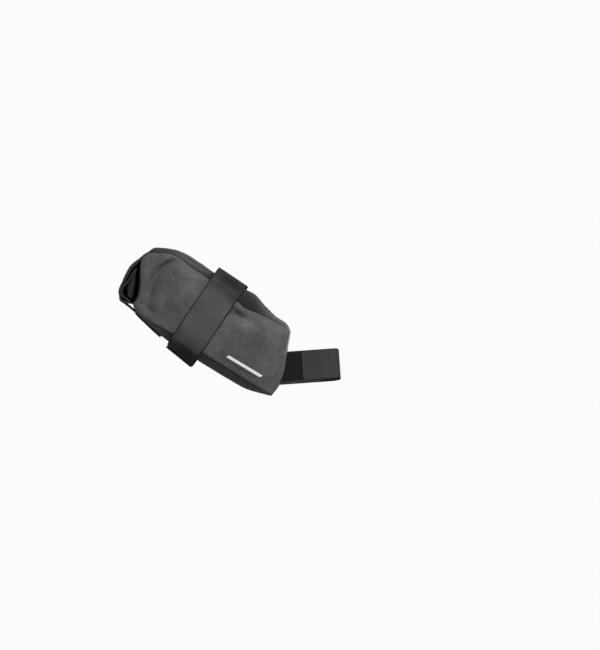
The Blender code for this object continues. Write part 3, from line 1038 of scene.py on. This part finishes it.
def pile_loops(name, start, y, mat, axes):
    """Many tiny loops standing on the near face of the pile tab."""
    dice = random.Random(7)
    points, faces = [], []
    half = BAND_HEIGHT / 2 - PILE_MARGIN
    for _ in range(LOOP_COUNT):
        z = dice.uniform(-half, half)
        x = dice.uniform(start(z) + PILE_START, -BAND_LAP_REAR + PILE_UNDER)
        turn = dice.uniform(0, math.pi)
        spread = Vector((math.cos(turn), 0.0, math.sin(turn))) * dice.uniform(*LOOP_SPREAD)
        lean = Vector((dice.uniform(-1, 1), 0.0, dice.uniform(-1, 1))) * LOOP_LEAN
        tall = LOOP_HEIGHT * dice.uniform(LOOP_LOWEST, 1.0)
        base = Vector((x, y, z))
        along_loop = spread.normalized()
        across = along_loop.cross(Vector((0, 1, 0)))
        first = len(points)
        for k in range(LOOP_POINTS):
            angle = math.pi * k / (LOOP_POINTS - 1)
            centre = base - spread * math.cos(angle) + lean * math.sin(angle)
            centre.y -= tall * math.sin(angle)
            out = along_loop * -math.cos(angle) + Vector((0, -math.sin(angle), 0))
            for m in range(LOOP_SIDES):
                a = 2 * math.pi * m / LOOP_SIDES
                points.append(centre + (out * math.cos(a) + across * math.sin(a)) * LOOP_RADIUS)
        tube_faces(faces, range(first, len(points) - LOOP_SIDES, LOOP_SIDES), LOOP_SIDES)
    return new_object(name, points, faces, mat, axes)


def make_post_strap(pile, band, thread, bag_axes, post_axes):
    """The front strap: a pile tab on the near side, and a band that laps over it."""
    half = BAND_HEIGHT / 2
    pile_y = -(POST_WIDTH / 2 + SEAM_GAP + PILE_WALL / 2)
    band_near = pile_y - PILE_WALL / 2 - SEAM_GAP - BAND_WALL / 2
    band_far = POST_WIDTH / 2 + SEAM_GAP + BAND_WALL / 2
    nose = POST_LENGTH / 2 - POST_WIDTH / 2
    near_face = front_face(bag_axes, post_axes, pile_y)
    far_face = front_face(bag_axes, post_axes, band_far)

    def pile_start(z):
        return reach_to(near_face, z) - SEAM_LAP

    def pile_path(w):
        z = w * half
        start = pile_start(z)
        return [(lerp(start, PILE_REACH, u), pile_y, z) for u in shares(6)]

    reach = nose + band_far
    plan = [(-0.5 * BAND_LAP_REAR, band_near), (0.0, band_near)]
    plan += [(share * reach, band_near + lift) for share, lift in NEAR_LIFTS]
    plan += [(share * reach, out * band_near) for share, out in NEAR_TURN]
    plan += [(nose + band_far * math.sin(a), -band_far * math.cos(a))
             for a in (math.radians(d) for d in ARC_ANGLES)]
    plan += [(x, band_far) for x in FAR_RUN]

    def band_path(w):
        z = w * half
        end = reach_to(far_face, z + dip(band_far)) - SEAM_LAP
        line = [(-BAND_LAP_REAR + corner_step(z), band_near)] + plan + [(end, band_far)]
        return [(x, y, z + dip(y)) for x, y in line]

    tab = ribbon("pile_tab_base", pile_path, PILE_GRID, half, PILE_WALL, pile, post_axes)
    finished(tab, "loop_pile", "post_strap_tab")
    loops = pile_loops("pile_tab_loops", pile_start, pile_y - PILE_WALL / 2, pile, post_axes)
    finished(loops, "loop_pile")
    strap = ribbon("post_band", band_path, BAND_GRID, half, BAND_WALL, band, post_axes)
    finished(strap, "smooth_strap", "post_strap_band")

    out = Vector((0.0, -1.0, 0.0))
    back = Vector((0.0, 1.0, 0.0))
    levels = shares(14, -STITCH_REACH * half, STITCH_REACH * half)
    rows = []
    for step in BAND_STITCHES:
        rows.append([])
        for z in levels:
            x = reach_to(far_face, z + dip(band_far)) + 2 * SEAM_GAP + step
            rows[-1].append((Vector((x, band_far + BAND_WALL / 2, z + dip(band_far))), back))
    rows.append([(Vector((pile_start(z) + PILE_STITCH, pile_y - PILE_WALL / 2, z)), out)
                 for z in levels])
    finished(stitch_rows("post_strap_thread", rows, thread, post_axes), "smooth_strap")


def side_face(x, z, side):
    """The side's y at a place. Its height share is found in a few steps, as its ends lean."""
    share = 0.5
    for _ in range(BAR_PASSES):
        s = section(share_at(x, share))
        share = (z - s.base_drop) / (s.seam_drop - s.base_drop)
    return side_point(share_at(x, share), share, side).y


def make_bars(mat, axes):
    long, tall = BAR_GRID
    for side, hand in HANDS:
        rows = []
        for u in shares(long):
            row = []
            for v in shares(tall) if side < 0 else shares(tall, 1.0, 0.0):
                x = lerp(BAR_START, BAR_END, u) + BAR_SLANT * v
                z = BAR_LOW + BAR_RISE * u + BAR_TALL * v
                row.append(Vector((x, side_face(x, z, side) + side * BAR_LIFT, z)))
            rows.append(row)
        obj = cloth_piece(f"side_bar_{hand}", rows, BAR_WALL, 1, mat, axes)
        obj.modifiers.remove(obj.modifiers["rim"])
        finished(obj, "side_cloth")


def make_stage():
    """A pale floor well below the bag, which only the light sees."""
    mesh = bpy.data.meshes.new("floor")
    ring = [(FLOOR_RADIUS * math.cos(a), FLOOR_RADIUS * math.sin(a), -FLOOR_DROP)
            for a in (2 * math.pi * k / FLOOR_SIDES for k in range(FLOOR_SIDES))]
    mesh.from_pydata(ring, [], [tuple(range(FLOOR_SIDES))])
    floor = bpy.data.objects.new("floor", mesh)
    mesh.materials.append(plain("floor_white", *FLOOR)[0])
    bpy.context.scene.collection.objects.link(floor)
    floor.visible_camera = False


def add_lamp(look):
    data = bpy.data.lights.new(look.name, "AREA")
    data.shape = "DISK"
    data.size = look.size
    data.energy = look.power
    lamp = bpy.data.objects.new(look.name, data)
    lamp.location = look.place
    lamp.rotation_euler = (LAMP_TARGET - Vector(look.place)).to_track_quat("-Z", "Y").to_euler()
    bpy.context.scene.collection.objects.link(lamp)


def make_light():
    world = bpy.data.worlds.new("white_room")
    world.use_nodes = True
    background = world.node_tree.nodes["Background"]
    background.inputs["Color"].default_value = (1.0, 1.0, 1.0, 1.0)
    background.inputs["Strength"].default_value = WORLD_STRENGTH
    bpy.context.scene.world = world
    for look in LAMPS:
        add_lamp(look)
    bpy.context.scene.view_settings.view_transform = "Standard"


def make_camera():
    data = bpy.data.cameras.new("camera")
    data.sensor_width = SENSOR
    data.lens = SENSOR * CAMERA_DISTANCE / VIEW_HEIGHT
    data.clip_end = 20.0
    camera = bpy.data.objects.new("camera", data)
    camera.location = VIEW_CENTRE + Vector((0.0, -CAMERA_DISTANCE, 0.0))
    camera.rotation_euler = (math.radians(90), 0.0, 0.0)
    bpy.context.scene.collection.objects.link(camera)
    bpy.context.scene.camera = camera


def main():
    bag_axes = Matrix.Rotation(BAG_TILT, 4, "Y")
    post_axes = post_matrix(bag_axes)
    side_cloth = cloth("side_weave", SIDE_CLOTH)
    dark_cloth = cloth("dark_weave", DARK_CLOTH)
    base_cloth = cloth("base_weave", BASE_CLOTH)
    flap_cloth = cloth("flap_weave", FLAP_CLOTH)
    length = run_of([Vector(p) for p in strap_route(0.0)])
    strap = smooth_band("strap_coat", STRAP_GREYS, STRAP_WIDTH / 2, length)
    band = smooth_band("band_coat", BAND_GREYS, BAND_HEIGHT / 2)
    tape = ribbed("black_tape", TAPE_GREYS, TAPE_PITCH)
    pile = plain("pile_fibre", *PILE_FIBRE)[0]
    thread = plain("dark_thread", *THREAD)[0]
    bar = plain("light_print", *PRINT)[0]

    make_sides(side_cloth, bag_axes)
    # the top's dark cloth carries painted shade, the shadow of the saddle over it
    make_top(dark_cloth, bag_axes)
    make_base(base_cloth, bag_axes)
    make_front(side_cloth, bag_axes)
    make_rear_wall(dark_cloth, bag_axes)
    make_roll(flap_cloth, bag_axes)
    make_gussets(flap_cloth, bag_axes)
    make_gusset_backs(dark_cloth, bag_axes)
    make_roll_tab(tape, thread, bag_axes)
    make_rail_strap(strap, thread, bag_axes)
    make_post_strap(pile, band, thread, bag_axes, post_axes)
    make_bars(bar, bag_axes)
    make_stage()
    make_light()
    make_camera()


main()
bpy.context.view_layer.update()
